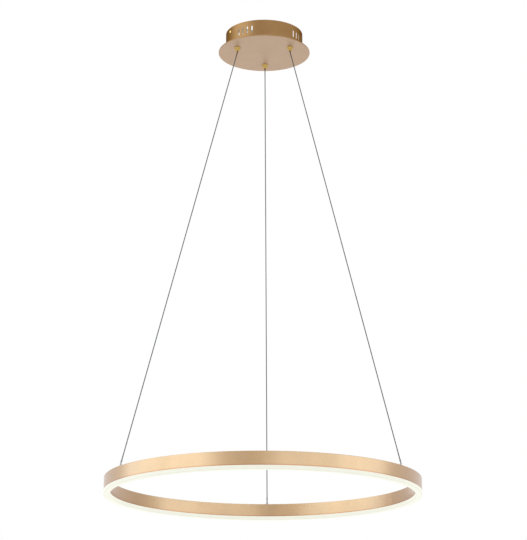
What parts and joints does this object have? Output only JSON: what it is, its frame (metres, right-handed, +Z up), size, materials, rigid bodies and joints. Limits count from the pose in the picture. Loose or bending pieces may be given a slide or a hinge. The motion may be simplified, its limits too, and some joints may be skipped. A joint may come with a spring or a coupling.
{
  "type": "pendant light",
  "caption": "Ring pendant light with a satin gold profile and an opal diffuser, hung on straight steel wires from a round slotted ceiling canopy with height-adjusting grippers.",
  "frame": {"origin": "centre of the ceiling plane, on top of the ceiling bracket, at the middle of its two screw holes", "axes": "+Z up, out of the ceiling face; +Y towards the rear wire, -Y towards the near side between the two front wires, +X to the right"},
  "size_m": [0.5999, 0.6, 0.943],
  "materials": {
    "zinc_steel": "satin",
    "brass": "polished",
    "satin_gold_drum": "satin",
    "satin_gold_plate": "satin",
    "satin_gold_ring": "satin",
    "white_plastic": "matte",
    "circuit_board": "matte",
    "brown_lead": "matte",
    "blue_lead": "matte",
    "green_yellow_lead": "matte",
    "hardened_steel": "polished",
    "coated_wire": "satin",
    "nickel": "satin",
    "aluminium": "satin",
    "opal_diffuser": "matte",
    "strip_white": "matte",
    "led_yellow": "gloss",
    "red_lead": "matte"
  },
  "bodies": {
    "canopy": {"ceiling_bracket": "zinc_steel", "side_screws": "brass", "canopy_drum": "satin_gold_drum", "canopy_plate": "satin_gold_plate", "plate_nuts": "zinc_steel", "driver_base": "white_plastic", "driver_cover": "white_plastic", "driver_board": "circuit_board", "terminal_block": "white_plastic", "terminal_screws": "zinc_steel", "cable_clamp": "zinc_steel", "earth_eyelet": "zinc_steel", "live_lead": "brown_lead", "neutral_lead": "blue_lead", "earth_lead": "green_yellow_lead", "gripper_body_left": "brass", "gripper_body_right": "brass", "gripper_body_rear": "brass", "gripper_locknut_left": "brass", "gripper_locknut_right": "brass", "gripper_locknut_rear": "brass", "gripper_cap_left": "brass", "gripper_cap_right": "brass", "gripper_cap_rear": "brass", "gripper_spring_left": "hardened_steel", "gripper_spring_right": "hardened_steel", "gripper_spring_rear": "hardened_steel", "wire_tail_left": "coated_wire", "wire_tail_right": "coated_wire", "wire_tail_rear": "coated_wire", "wire_left": "coated_wire", "wire_right": "coated_wire", "wire_rear": "coated_wire"},
    "ring": {"ring_profile": "satin_gold_ring", "ring_joiner": "aluminium", "joiner_screws": "nickel", "diffuser": "opal_diffuser", "led_strip": "strip_white", "led_chips": "led_yellow", "ring_leads": "red_lead", "anchor_nuts": "nickel", "wire_stops": "nickel", "crimp_bead_left": "nickel", "crimp_bead_right": "nickel", "crimp_bead_rear": "nickel", "wire_end_left": "coated_wire", "wire_end_right": "coated_wire", "wire_end_rear": "coated_wire", "ring_nipple_left": "nickel", "ring_nipple_right": "nickel", "ring_nipple_rear": "nickel"},
    "plunger_left": {"gripper_plunger_left": "hardened_steel", "gripper_balls_left": "hardened_steel"},
    "plunger_right": {"gripper_plunger_right": "hardened_steel", "gripper_balls_right": "hardened_steel"},
    "plunger_rear": {"gripper_plunger_rear": "hardened_steel", "gripper_balls_rear": "hardened_steel"}
  },
  "joints": [
    {"name": "ring_height", "type": "slide", "parent": "canopy", "child": "ring", "axis": [0, 0, 1], "range_m": [0, 0.4], "deforming": ["wire_left", "wire_right", "wire_rear"]},
    {"name": "plunger_left_press", "type": "slide", "parent": "canopy", "child": "plunger_left", "axis": [0, 0, 1], "range_m": [0, 0.0016], "stiffness_N_per_m": 300, "springref_m": -0.002, "deforming": ["gripper_spring_left"]},
    {"name": "plunger_right_press", "type": "slide", "parent": "canopy", "child": "plunger_right", "axis": [0, 0, 1], "range_m": [0, 0.0016], "stiffness_N_per_m": 300, "springref_m": -0.002, "deforming": ["gripper_spring_right"]},
    {"name": "plunger_rear_press", "type": "slide", "parent": "canopy", "child": "plunger_rear", "axis": [0, 0, 1], "range_m": [0, 0.0016], "stiffness_N_per_m": 300, "springref_m": -0.002, "deforming": ["gripper_spring_rear"]}
  ]
}
